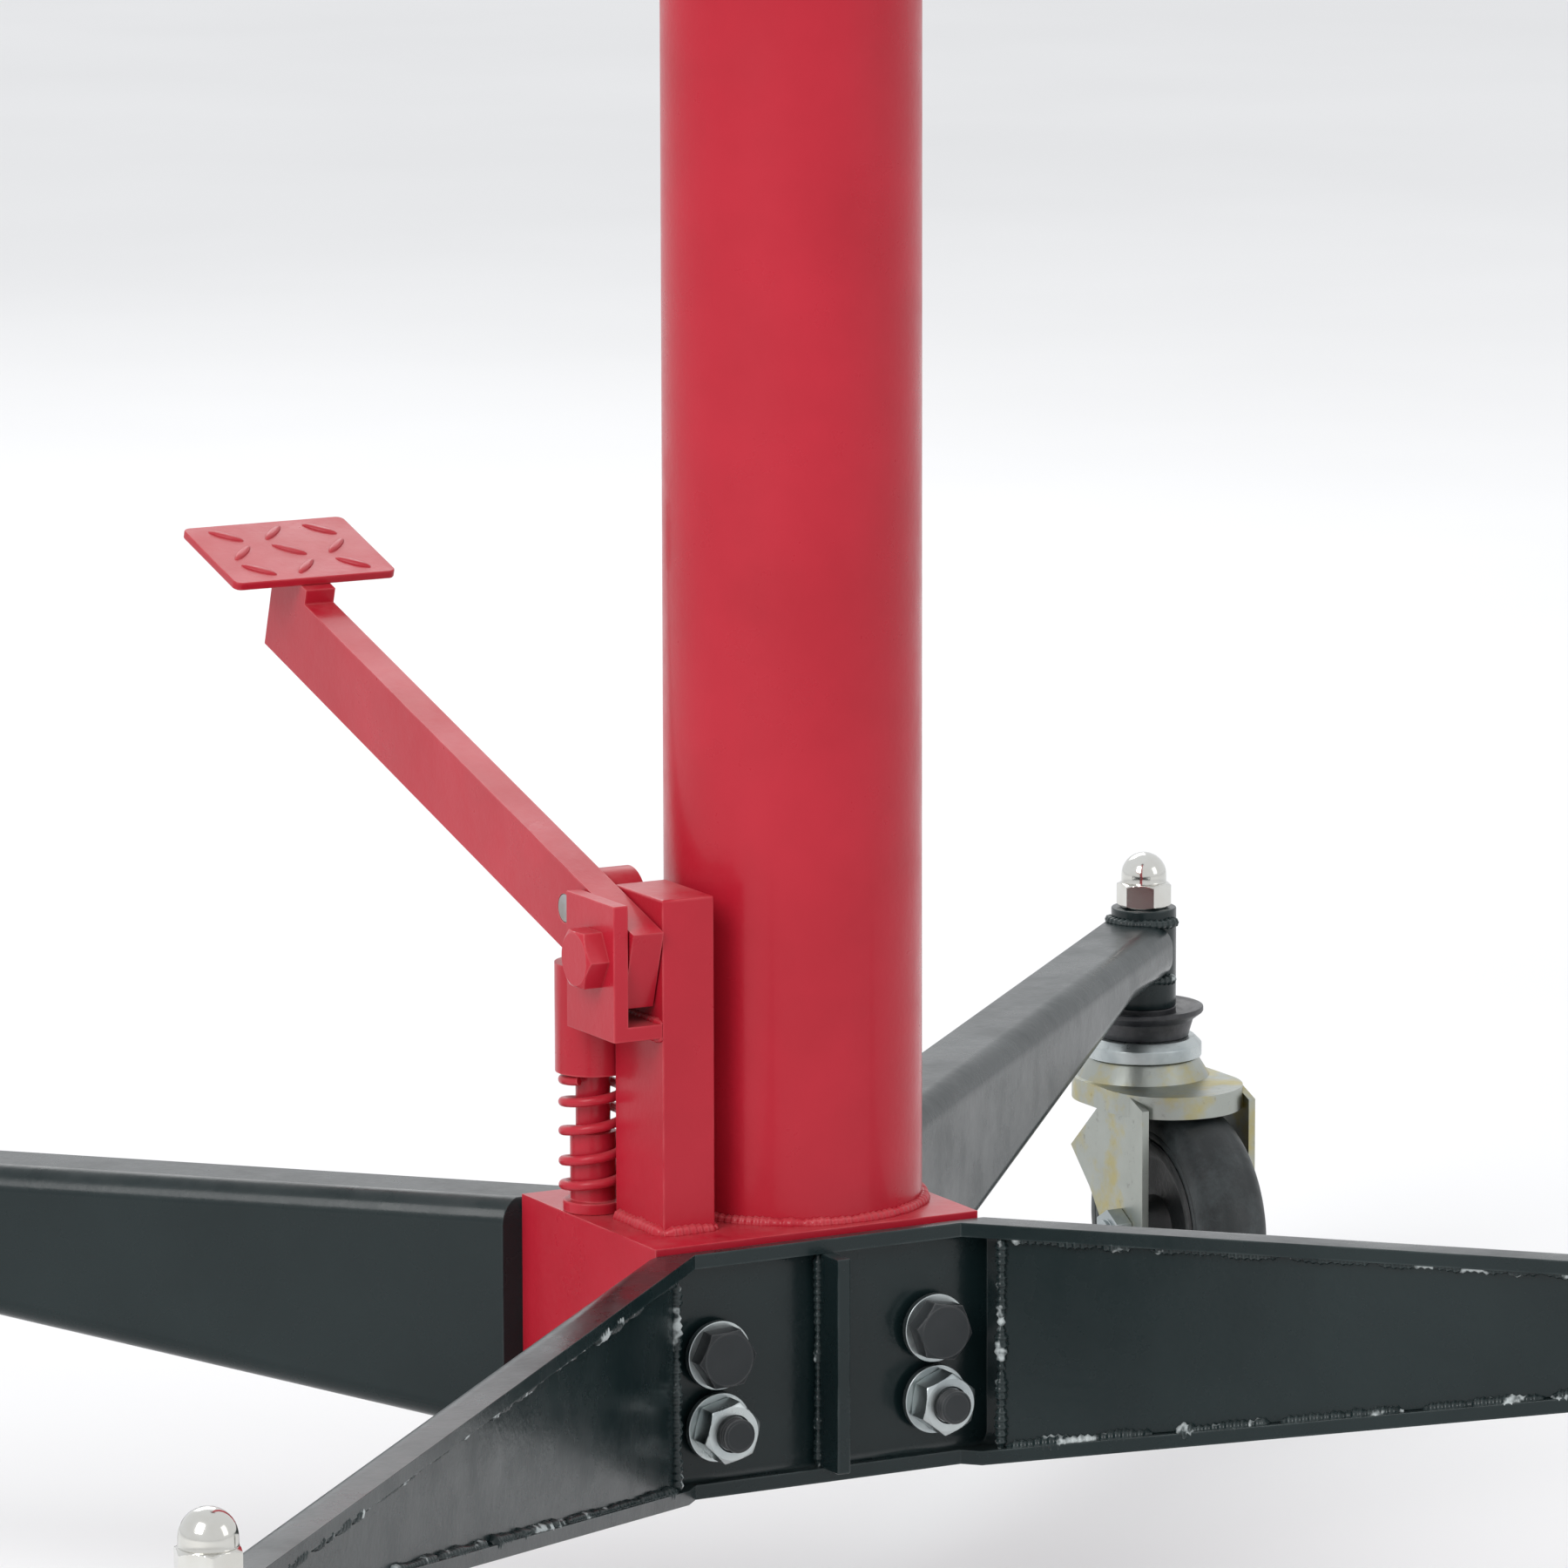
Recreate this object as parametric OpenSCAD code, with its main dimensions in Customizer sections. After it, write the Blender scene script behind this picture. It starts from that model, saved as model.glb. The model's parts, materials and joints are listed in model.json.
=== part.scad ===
// Vertical hydraulic transmission jack: a foot-pumped single-stage lift on four casters.
// +Z is up, the floor is z = 0, and the origin is under the centre of the base block.
// +X runs along the block's front face to the right, and +Y points to the back.

/* [Base] */
// Height of the base block's top face above the floor
block_top = 170; // [165:1:185]
// Length of the base block along X
block_l = 125; // [120:1:135]
// Width of the base block along Y
block_w = 100; // [96:1:110]
// Height of the base block
block_h = 87; // [84:1:90]
// Distance of each caster axis from the middle, along X and along Y
caster_xy = 385; // [360:5:420]
// Depth of the front frame's channel, from its web to its free edges
front_depth = 18.5; // [17:0.5:22]
// Depth of the rear frame's channel
rear_depth = 28; // [24:1:32]
// Plate thickness of the frames
plate_t = 5; // [4:0.5:6]
// Outer radius of the channel's two folds
fold_r = 9; // [6:1:10]
// Height of the channel at the block
leg_root_h = 85; // [80:1:88]
// Height of the channel at the caster
leg_tip_h = 22.5; // [21:0.5:30]

/* [Casters] */
// Radius of the wheels
wheel_r = 50; // [48:1:52]
// Width of the tyres
tyre_w = 30; // [26:1:32]
// Distance of an axle behind its swivel axis
trail = 28; // [24:1:30]

/* [Lift] */
// Outer diameter of the column, which is the oil reservoir
column_d = 89; // [86:1:92]
// Height of the column tube above the block
column_h = 840; // [800:10:1000]
// Outer diameter of the chromed ram
ram_d = 45; // [40:1:46]

/* [Pump] */
// Angle of the foot pedal above level, at rest
pedal_rest = 17; // [15:1:20]
// Length of the pedal's bar behind its pivot
pedal_len = 280; // [240:5:300]
// Distance from the pedal's pivot to the plunger pin
pump_throw = 36; // [35:1:37]

/* [Saddle] */
// Side of the square saddle plate
saddle_side = 150; // [140:5:160]
// Travel of each saddle arm along its guides
arm_travel = 45; // [30:5:50]

/* [Hidden] */
$fn = 64;

red = "#c8283a";
black = "#1d2628";
zinc = "#b9bcb8";
chrome = "#d8dadc";
steel = "#8c8f92";
rubber = "#17191a";

slack = 1;            // how far a cutting solid reaches past the face it cuts
run_gap = 0.05;       // radial clearance of a shaft or pin that turns or slides in its hole
side_gap = 0.6;       // clearance between moving flat faces

fold_flats = 3;       // flats that make up a fold of 90 degrees

// Frames. Each leg turns 45 degrees out of the web that is bolted to the block.
leg_turn = 45;
bend_x = 70;
frame_drop = 1.5;
frame_top = block_top - frame_drop;
bend_y = block_w / 2;
sleeve_r = 13;
sleeve_top = block_top + 4;
sleeve_bottom = block_top - 36;
axis_at = (2 * caster_xy - bend_x - bend_y) * sin(leg_turn);  // bend to caster axis
axis_inset = (bend_x - bend_y) * sin(leg_turn);  // web's outer face to caster axis
leg_end = axis_at - 8;
level_from = axis_at - 67;  // where the leg's lower edge stops rising
plate_recess = 3;     // side plate's setback from the flanges' edges
side_plate_t = 4;
plate_from = 6;       // bend to the near end of a side plate, which clears the nuts
CASTERS = [[-1, -1], [1, -1], [-1, 1], [1, 1]];

// Fasteners, M12 throughout on the frames
m12_r = 6;
m12_hole_r = 6.5;
m12_af = 19;
washer_r = 12;
washer_t = 2.5;
nut_h = 10;
head_r = 9.5;
head_h = 7;
stud_end = 4.5;
bolt_x = 42;
BOLT_ROWS = [block_top - 37.5, block_top - 62.5];

// Casters
stem_r = 6;
race_r = 23.4;
race_top = sleeve_bottom - 12;
race_bottom = race_top - 8;
ball_r = 2.4;
ball_ring = 16;
ball_count = 16;
crown_top = race_bottom - 0.5;
crown_t = 4;
crown_r = 28.5;
deck_top = crown_top - 7.5;
rim_bottom = crown_top - 16.5;
crown_len = 22;       // how far the crown reaches out over the wheel
fork_in = 23;
cheek_t = 3;
sheet_t = 2.5;
axle_r = 5;
axle_boss = 15.75;    // half width of a cheek at the axle
hub_r = 36;
hub_w = 45;

// Column, cylinder and ram
column_x = 17.5;
column_r = column_d / 2;
column_wall = 4;
column_top = block_top + column_h;
cyl_r = 31;
bore_r = 25;
cyl_seat = 12;
cyl_bottom = block_top - cyl_seat;
gland_neck = 24;
gland_h = 26;
wiper_h = 6;
ram_r = ram_d / 2;
ram_bottom = cyl_bottom + 6;
piston_h = 24;
socket_r = 17.5;
pin_r = 14;
socket_depth = 60;
ram_top = column_top + gland_h + wiper_h + 32;

// Pump, left of the column
pump_x = -52;
pump_y = 16;
pivot_y = pump_y - 35;
pivot_z = block_top + 96;
post_x = -50.5;
post_w = 20;
post_front = -33;
post_back = 2;
post_h = 116;
ear_x = -69;
ear_t = 5.5;
ear_h = 47;
ear_base_t = 5;
bar_t = 11.6;
bar_depth = 28;
bar_front = 13;
bar_x = post_x - 0.7 - bar_t;
pad_neck = 5.5;
pin_z = pivot_z + pump_throw * sin(pedal_rest);
plunger_pin_r = 5;
pin_slot = pump_throw * (1 - cos(pedal_rest)) / 2 + 0.1;  // half the pin's sideways shift, eased
barrel_r = 8;
barrel_top = block_top + 28;
barrel_bottom = block_top - 20;
plunger_r = 6;
head_w_r = 13;
head_bottom = block_top + 49;
head_top = block_top + 87;
lug_r = 12.5;
lug_t = 13.5;
wire_r = 1.7;
coil_r = 10.3;
coil_turns = 4.6;
spring_bottom = block_top + 4;

// Release valve on the block's right face
VALVE_XS = [-55, -20];
valve_r = 4;
valve_depth = 14;
plug_r = 6;
plug_head = 2;        // depth of a plug's head, which is flush with the block
plug_l = 7.5;         // a plug's whole length, just short of its ball
block_bottom = block_top - block_h;
valve_y = 20;
valve_z = block_top - 77;
spindle_r = 5;

// Saddle
saddle_z = ram_top + 8;
saddle_t = 8;
arm_w = 30;
arm_t = 6;
arm_from = 17;        // a saddle arm's ends, measured from the ram's axis at rest
arm_to = 120;
arm_bolt_at = 72;
arm_gap = 0.3;
m10_r = 5;
finger_h = 48;

// ---------- helpers ----------

// A hexagonal prism, measured across its flats
module hex(af, h) {
    cylinder(r = af / 2 / cos(30), h = h, $fn = 6);
}

// A cylinder along +X
module xcyl(r, h) {
    rotate([0, 90, 0]) cylinder(r = r, h = h);
}

// A ring
module ring(r_out, r_in, h) {
    difference() {
        cylinder(r = r_out, h = h);
        translate([0, 0, -slack]) cylinder(r = r_in, h = h + 2 * slack);
    }
}

// Puts the children at every caster axis
module at_casters() {
    for (c = CASTERS) translate([c.x * caster_xy, c.y * caster_xy, 0]) children();
}

// ---------- base ----------

module base_block() {
    color(red) difference() {
        translate([-block_l / 2, -block_w / 2, block_top - block_h])
            cube([block_l, block_w, block_h]);
        for (s = [-1, 1], z = BOLT_ROWS)
            translate([s * bolt_x, block_w / 2 + slack, z])
                rotate([90, 0, 0]) cylinder(r = m12_hole_r, h = block_w + 2 * slack);
        translate([column_x, 0, cyl_bottom]) cylinder(r = cyl_r, h = cyl_seat + slack);
        translate([pump_x, pump_y, barrel_bottom])
            cylinder(r = barrel_r, h = block_top - barrel_bottom + slack);
        translate([block_l / 2 - 30, valve_y, valve_z]) xcyl(spindle_r + run_gap, 30 + slack);
        for (x = VALVE_XS) translate([x, pump_y, block_bottom - slack]) {
            cylinder(r = valve_r, h = valve_depth + slack);
            cylinder(r = plug_r, h = plug_head + slack);
        }
    }
}

// The outline of a leg's side plate from x = from, which is past the bend, to x = to, shrunk by
// inset at both edges
module leg_outline(from, to, inset) {
    drop = (leg_root_h - leg_tip_h) * from / level_from;
    polygon([[from, -inset], [to, -inset], [to, inset - leg_tip_h],
             [level_from, inset - leg_tip_h], [from, inset - leg_root_h + drop]]);
}

// Points [distance from the web's outer face, height under the top] of a fold's flats, for the
// radius r, about a centre fold_r in from the web. Its first point is on the flange.
function fold_arc(r) = [for (k = [0:fold_flats])
    let (a = 90 * k / fold_flats) [fold_r - r * sin(a), r * cos(a) - fold_r]];

function turned_over(points) = [for (k = [len(points) - 1:-1:0]) points[k]];
function lower(points, h) = [for (p = points) [p[0], -h - p[1]]];

// A folded channel's section, as deep as depth and h high, open on the side away from the web
function channel_section(depth, h) =
    let (outer = concat([[depth, 0]], fold_arc(fold_r)),
         inner = concat([[depth, -plate_t]], fold_arc(fold_r - plate_t)))
    concat(outer, turned_over(lower(outer, h)), lower(inner, h), turned_over(inner));

// The section placed across the leg: s is the distance along the leg from the bend, and skew how far
// the section runs back along the leg for every millimetre of its depth
function leg_station(depth, h, s, skew, side) = [for (p = channel_section(depth, h))
    let (x = s - skew * p[0])
        [side * (bend_x + x * cos(leg_turn) - p[0] * sin(leg_turn)),
         x * sin(leg_turn) + p[0] * cos(leg_turn), p[1]]];

function leg_stations(depth, side) = [
    leg_station(depth, leg_tip_h, leg_end, 0, side),
    leg_station(depth, leg_tip_h, level_from, 0, side),
    leg_station(depth, leg_root_h, 0, 0, side),
    leg_station(depth, leg_root_h, 0, tan(leg_turn / 2), side)];

// One plate folded into a channel: a level middle and a leg to each side
module folded_channel(depth) {
    stations = concat(leg_stations(depth, -1), turned_over(leg_stations(depth, 1)));
    sides = len(stations[0]);
    last = len(stations) - 1;
    skin = [for (i = [0:last - 1], k = [0:sides - 1])
        let (m = (k + 1) % sides) [i * sides + k, (i + 1) * sides + k, (i + 1) * sides + m, i * sides + m]];
    // each end is closed by quadrilaterals between the section's outer and inner lines
    start = [for (k = [0:sides / 2 - 2]) [k, k + 1, sides - 2 - k, sides - 1 - k]];
    end = [for (face = start) [for (k = turned_over(face)) last * sides + k]];
    polyhedron([for (station = stations) each station], concat(skin, start, end));
}

// Puts a leg's own frame where the leg is, on the back frame
module at_legs() {
    for (s = [0, 1]) mirror([s, 0, 0]) translate([bend_x, 0, 0]) rotate([0, 0, leg_turn])
        children();
}

module leg_frame(depth) {
    color(black) difference() {
        folded_channel(depth);
        at_legs() translate([axis_at, axis_inset, -leg_root_h])
            cylinder(r = sleeve_r, h = leg_root_h + slack);
        for (s = [-1, 1], z = BOLT_ROWS) translate([s * bolt_x, -slack, z - frame_top])
            rotate([-90, 0, 0]) cylinder(r = m12_hole_r, h = plate_t + 2 * slack);
    }
}

module at_rear() {
    translate([0, block_w / 2, frame_top]) children();
}

module at_front() {
    rotate([0, 0, 180]) at_rear() children();
}

module rear_leg_frame() {
    at_rear() leg_frame(rear_depth);
}

module front_leg_frame() {
    at_front() leg_frame(front_depth);
}

// The plate that closes a leg, set back between the flanges
module side_plate(depth) {
    translate([0, depth - plate_recess, 0]) rotate([90, 0, 0]) linear_extrude(side_plate_t)
        leg_outline(plate_from, axis_at - sleeve_r - 0.5, plate_t);
}

module leg_side_plates() {
    color(black) {
        at_rear() at_legs() side_plate(rear_depth);
        at_front() at_legs() side_plate(front_depth);
    }
}

module frame_ribs() {
    rib_t = 5;
    module rib(depth) {
        translate([-rib_t / 2, plate_t, plate_t - leg_root_h])
            cube([rib_t, depth - plate_t, leg_root_h - 2 * plate_t]);
    }
    color(black) {
        at_rear() rib(rear_depth);
        at_front() rib(front_depth);
    }
}

// Puts the children on one bolt's axis, which runs along +Z from the head's side of the base
module at_bolts() {
    for (s = [-1, 1], row = [0, 1]) translate([s * bolt_x, 0, BOLT_ROWS[row]])
        rotate([row == 0 ? -90 : 90, 0, 0]) children();
}
grip = block_w + 2 * plate_t;

module frame_bolts() {
    socket_af = 8;
    color(black) at_bolts() {
        translate([0, 0, -grip / 2 - washer_t])
            cylinder(r = m12_r, h = grip + 2 * washer_t + nut_h + stud_end);
        translate([0, 0, -grip / 2 - washer_t - head_h]) difference() {
            cylinder(r = head_r, h = head_h);
            translate([0, 0, -slack]) hex(socket_af, head_h / 2 + slack);
        }
    }
}

module frame_nuts() {
    color(zinc) at_bolts() translate([0, 0, grip / 2 + washer_t]) difference() {
        hex(m12_af, nut_h);
        translate([0, 0, -slack]) cylinder(r = m12_r, h = nut_h + 2 * slack);
    }
}

module frame_washers() {
    color(zinc) at_bolts() for (z = [-grip / 2 - washer_t, grip / 2])
        translate([0, 0, z]) ring(washer_r, m12_r, washer_t);
}

// ---------- caster mountings ----------

module caster_sleeves() {
    color(black) at_casters() translate([0, 0, sleeve_bottom])
        ring(sleeve_r, stem_r, sleeve_top - sleeve_bottom);
}

module caster_stems() {
    thread = 12;
    foot_r = 10;
    foot_t = 4;
    color(zinc) at_casters() {
        translate([0, 0, crown_top - crown_t - 0.5])
            cylinder(r = stem_r, h = sleeve_top + thread - crown_top + crown_t + 0.5);
        translate([0, 0, crown_top - crown_t - 0.5 - foot_t]) cylinder(r = foot_r, h = foot_t);
    }
}

module acorn_nuts() {
    dome_r = 9;
    hex_h = 10;
    bore_h = 13;
    color(chrome) at_casters() translate([0, 0, sleeve_top]) difference() {
        union() {
            hex(m12_af, hex_h);
            translate([0, 0, hex_h]) cylinder(r = dome_r, h = 3);
            translate([0, 0, hex_h + 3]) intersection() {
                sphere(r = dome_r);
                translate([0, 0, dome_r]) cube(2 * dome_r, center = true);
            }
        }
        translate([0, 0, -slack]) cylinder(r = stem_r, h = bore_h + slack);
    }
}

module swivel_dust_caps() {
    lip = 2;
    cap_h = sleeve_bottom - race_top;
    color(black) at_casters() translate([0, 0, race_top]) rotate_extrude()
        polygon([[stem_r, 0], [18, 0], [20, cap_h - 5], [24, cap_h - lip], [24, cap_h],
                 [22, cap_h], [16, cap_h - 3], [sleeve_r, cap_h - 3], [sleeve_r, cap_h],
                 [stem_r, cap_h]]);
}

// The ball track, which both halves of a swivel are grooved for
module ball_track() {
    rotate_extrude() translate([ball_ring, (race_bottom + crown_top) / 2]) circle(r = ball_r + 0.1);
}

module swivel_races() {
    color(zinc) at_casters() difference() {
        translate([0, 0, race_bottom]) rotate_extrude()
            polygon([[stem_r, 0], [race_r, 0], [race_r, 5], [race_r - 3, 8], [stem_r, 8]]);
        ball_track();
    }
}

module swivel_balls() {
    color(steel) at_casters() for (a = [0:360 / ball_count:359]) rotate([0, 0, a])
        translate([ball_ring, 0, (race_bottom + crown_top) / 2]) sphere(r = ball_r, $fn = 24);
}

// ---------- column, cylinder and ram ----------

module column_tube() {
    color(red) translate([column_x, 0, block_top]) difference() {
        cylinder(r = column_r, h = column_h);
        translate([0, 0, -slack]) cylinder(r = column_r - column_wall, h = column_h + 2 * slack);
        translate([0, 0, filler_z - block_top]) rotate([-90, 0, 0])
            cylinder(r = filler_r, h = column_r + slack);
    }
}
filler_z = column_top - 60;
filler_r = 6;

module filler_plug() {
    head_out = column_r + 1.5;
    color(zinc) translate([column_x, 0, filler_z]) rotate([-90, 0, 0]) {
        translate([0, 0, column_r - column_wall]) cylinder(r = filler_r, h = column_wall + 1.5);
        translate([0, 0, head_out]) hex(14, 6);
    }
}

module cylinder_tube() {
    color(steel) translate([column_x, 0, cyl_bottom])
        ring(cyl_r, bore_r, column_top - gland_neck - cyl_bottom);
}

module top_gland() {
    rim = 3;
    color(red) translate([column_x, 0, 0]) difference() {
        union() {
            translate([0, 0, column_top - gland_neck])
                cylinder(r = column_r - column_wall, h = gland_neck);
            translate([0, 0, column_top]) cylinder(r = column_r + rim, h = gland_h);
        }
        translate([0, 0, column_top - gland_neck - slack])
            cylinder(r = ram_r + run_gap, h = gland_neck + gland_h + 2 * slack);
        for (a = [0:90:359]) rotate([0, 0, a]) translate([column_r - 1, 0, column_top + gland_h / 2])
            xcyl(4, 2 * rim + slack);
    }
}

module rod_wiper() {
    color(rubber) translate([column_x, 0, column_top + gland_h]) rotate_extrude()
        polygon([[ram_r + run_gap, 0], [ram_r + 8, 0], [ram_r + 8, wiper_h / 2],
                 [ram_r + 2, wiper_h], [ram_r + run_gap, wiper_h]]);
}

module ram_tube() {
    color(chrome) translate([column_x, 0, ram_bottom + piston_h])
        ring(ram_r, socket_r, ram_top - ram_bottom - piston_h);
}

module piston() {
    groove_w = 8;
    groove_d = 4;
    color(steel) translate([column_x, 0, ram_bottom]) difference() {
        union() {
            cylinder(r = bore_r - run_gap, h = piston_h);
            translate([0, 0, piston_h]) cylinder(r = socket_r, h = 14);
        }
        translate([0, 0, (piston_h - groove_w) / 2])
            ring(bore_r + slack, bore_r - groove_d, groove_w);
    }
}

module piston_seal() {
    groove_w = 8;
    groove_d = 4;
    color(rubber) translate([column_x, 0, ram_bottom + (piston_h - groove_w) / 2])
        ring(bore_r - run_gap, bore_r - groove_d, groove_w);
}

module saddle_socket() {
    color(steel) translate([column_x, 0, ram_top - socket_depth - 8]) difference() {
        cylinder(r = socket_r, h = socket_depth + 8);
        translate([0, 0, 8]) cylinder(r = pin_r + run_gap, h = socket_depth + slack);
    }
}

// ---------- valves in the block ----------

module valve_balls() {
    ball_r = 3.2;
    color(steel) for (x = VALVE_XS)
        translate([x, pump_y, block_top - block_h + valve_depth - ball_r]) sphere(r = ball_r);
}

module valve_plugs() {
    color(zinc) for (x = VALVE_XS) translate([x, pump_y, block_bottom]) {
        cylinder(r = plug_r, h = plug_head);
        cylinder(r = valve_r, h = plug_l);
    }
}

module release_spindle() {
    color(zinc) translate([block_l / 2 - 28, valve_y, valve_z]) {
        xcyl(spindle_r, 28 + 32);
        translate([-2, 0, 0]) rotate([0, 90, 0]) cylinder(r1 = 1.5, r2 = spindle_r, h = 2);
        translate([28 + 2, 0, 0]) rotate([0, 90, 0]) hex(16, 8);
    }
}

module release_handle() {
    bar_r = 4;
    bar_l = 62;
    color(black) translate([block_l / 2 + 26, valve_y, valve_z]) {
        difference() {
            translate([-2, 0, 0]) xcyl(9, 12);
            translate([-2 - slack, 0, 0]) xcyl(spindle_r, 8 + slack);
        }
        for (s = [-1, 1]) rotate([s * 90, 0, 0]) translate([4, 0, 8.5])
            cylinder(r = bar_r, h = bar_l / 2 - 8.5);
    }
}

// ---------- pump ----------

module pump_post() {
    color(red) difference() {
        translate([post_x, post_front, block_top]) cube([post_w, post_back - post_front, post_h]);
        translate([post_x - slack, pivot_y, pivot_z]) xcyl(m12_r, 16 + slack);
    }
}

module pump_bracket() {
    depth = post_back - post_front;
    ear_bottom = block_top + 68.5;
    color(red) difference() {
        union() {
            translate([ear_x, post_front, ear_bottom]) cube([ear_t, depth, ear_h]);
            translate([ear_x, post_front, ear_bottom]) cube([post_x - ear_x, depth, ear_base_t]);
        }
        translate([ear_x - slack, pivot_y, pivot_z]) xcyl(m12_r + run_gap, ear_t + 2 * slack);
    }
}

module pivot_bolt() {
    head = 8;
    color(red) translate([ear_x, pivot_y, pivot_z]) {
        xcyl(m12_r, post_x - ear_x + 16);
        translate([-head, 0, 0]) rotate([0, 90, 0]) hex(m12_af, head);
    }
}

module pump_barrel() {
    seat_r = 10.5;
    color(red) translate([pump_x, pump_y, 0]) difference() {
        union() {
            translate([0, 0, barrel_bottom]) cylinder(r = barrel_r, h = barrel_top - barrel_bottom);
            translate([0, 0, block_top]) cylinder(r = seat_r, h = spring_bottom - block_top);
        }
        translate([0, 0, barrel_bottom + 2])
            cylinder(r = plunger_r + run_gap, h = barrel_top - barrel_bottom);
    }
}

// The pedal's own frame: its pivot at the origin, its bar along +Y at rest
module at_pedal() {
    translate([0, pivot_y, pivot_z]) rotate([pedal_rest, 0, 0]) children();
}

module pedal_arm() {
    neck_from = pedal_len - 27;
    neck_l = 23;
    color(red) at_pedal() difference() {
        union() {
            translate([bar_x, -bar_front, -bar_depth / 2])
                cube([bar_t, pedal_len + bar_front, bar_depth]);
            translate([bar_x, neck_from, bar_depth / 2]) cube([bar_t, neck_l, pad_neck]);
        }
        translate([bar_x - slack, 0, 0]) xcyl(m12_r + run_gap, bar_t + 2 * slack);
        translate([bar_x - slack, pump_throw, 0]) xcyl(plunger_pin_r, bar_t + 2 * slack);
    }
}

module pedal_pad() {
    pad_w = 64;
    pad_l = 48;
    pad_t = 3;
    corner = 3;
    pad_from = pedal_len - 23;
    color(red) at_pedal() translate([bar_x + bar_t / 2, pad_from + pad_l / 2, bar_depth / 2 + pad_neck])
        linear_extrude(pad_t) for (a = [0, 90]) {
            square(a == 0 ? [pad_w, pad_l - 2 * corner] : [pad_w - 2 * corner, pad_l], center = true);
            for (x = [-1, 1], y = [-1, 1])
                translate([x * (pad_w / 2 - corner), y * (pad_l / 2 - corner)]) circle(r = corner);
        }
}

module plunger_pin() {
    clip_x = post_x + 14.5;
    color(steel) at_pedal() translate([0, pump_throw, 0]) {
        translate([bar_x, 0, 0]) xcyl(plunger_pin_r, clip_x + 4.5 - bar_x);
        translate([clip_x, 0, 0]) xcyl(plunger_pin_r + 3, 1.5);
    }
}

module plunger_rod() {
    color(chrome) translate([pump_x, pump_y, barrel_bottom + 22])
        cylinder(r = plunger_r, h = head_bottom - barrel_bottom - 22 + 8);
}

module plunger_seal() {
    color(rubber) translate([pump_x, pump_y, barrel_bottom + 19])
        cylinder(r = plunger_r + run_gap / 2, h = 3);
}

// The plunger's round head, with the slotted lug that the pedal's pin works in
module plunger_head() {
    lug_x = post_x - 0.1;
    color(red) difference() {
        union() {
            translate([pump_x, pump_y, head_bottom])
                cylinder(r = head_w_r, h = head_top - head_bottom);
            translate([lug_x, pump_y, pin_z]) xcyl(lug_r, lug_t);
            translate([lug_x, pump_y - 9, head_top - slack])
                cube([11, 18, pin_z - head_top + slack]);
        }
        translate([pump_x, pump_y, head_bottom - slack]) cylinder(r = plunger_r, h = 8 + slack);
        for (y = [-pin_slot, pin_slot]) translate([lug_x - slack, pump_y + y, pin_z])
            xcyl(plunger_pin_r + 0.35, lug_t + 2 * slack);
        translate([lug_x - slack, pump_y - pin_slot, pin_z - plunger_pin_r - 0.35])
            cube([lug_t + 2 * slack, 2 * pin_slot, 2 * plunger_pin_r + 0.7]);
    }
}

// Points of one wire section of the return spring, at t from 0 at the bottom to 1 at the top
function coil_rise(t) = spring_bottom + wire_r + t * (head_bottom - spring_bottom - 2 * wire_r);
function coil_section(t, sides) = [for (k = [0:sides - 1])
    let (a = 360 * coil_turns * t, b = 360 * k / sides, r = coil_r + wire_r * cos(b))
        [pump_x + r * cos(a), pump_y + r * sin(a), coil_rise(t) + wire_r * sin(b)]];

module return_spring() {
    sides = 6;
    rings = 80;
    points = [for (i = [0:rings]) each coil_section(i / rings, sides)];
    skin = [for (i = [0:rings - 1], k = [0:sides - 1])
        let (m = (k + 1) % sides) [i * sides + k, i * sides + m, (i + 1) * sides + m, (i + 1) * sides + k]];
    caps = [[for (k = [sides - 1:-1:0]) k], [for (k = [0:sides - 1]) rings * sides + k]];
    color(red) polyhedron(points, concat(skin, caps));
}

// ---------- saddle ----------

module at_arm(k) {
    translate([column_x, 0, 0]) rotate([0, 0, 45 + 90 * k]) children();
}

module saddle_plate() {
    rail_w = 6;
    rail_l = 46;
    rail_from = 40;
    collar_r = 26;
    corner_at = saddle_side / sqrt(2) - 12;
    color(black) difference() {
        union() {
            translate([column_x - saddle_side / 2, -saddle_side / 2, saddle_z])
                cube([saddle_side, saddle_side, saddle_t]);
            translate([column_x, 0, ram_top + side_gap])
                cylinder(r = collar_r, h = saddle_z - ram_top);
            translate([column_x, 0, ram_top - socket_depth + 8])
                cylinder(r = pin_r, h = socket_depth);
            for (k = [0:3], s = [0, 1]) at_arm(k) mirror([0, s, 0])
                translate([rail_from, arm_w / 2 + 0.5, saddle_z])
                    cube([rail_l, rail_w, saddle_t + arm_t]);
        }
        for (k = [0:3]) at_arm(k) {
            translate([arm_bolt_at, 0, saddle_z - slack])
                cylinder(r = m10_r, h = saddle_t + 2 * slack);
            translate([corner_at, -arm_w, saddle_z - slack])
                cube([arm_w, 2 * arm_w, saddle_t + arm_t + 2 * slack]);
        }
    }
}

arm_top = saddle_z + saddle_t + arm_gap + arm_t;

module saddle_bolts() {
    flange_t = 2;
    end = 2;              // thread that shows under the saddle
    head_bottom = arm_top + 0.5;
    color(zinc) for (k = [0:3]) at_arm(k) translate([arm_bolt_at, 0, 0]) {
        translate([0, 0, saddle_z - end]) cylinder(r = m10_r, h = head_bottom - saddle_z + end);
        translate([0, 0, head_bottom]) cylinder(r = 10, h = flange_t);
        translate([0, 0, head_bottom + flange_t]) hex(16, 6.5);
    }
}

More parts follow.
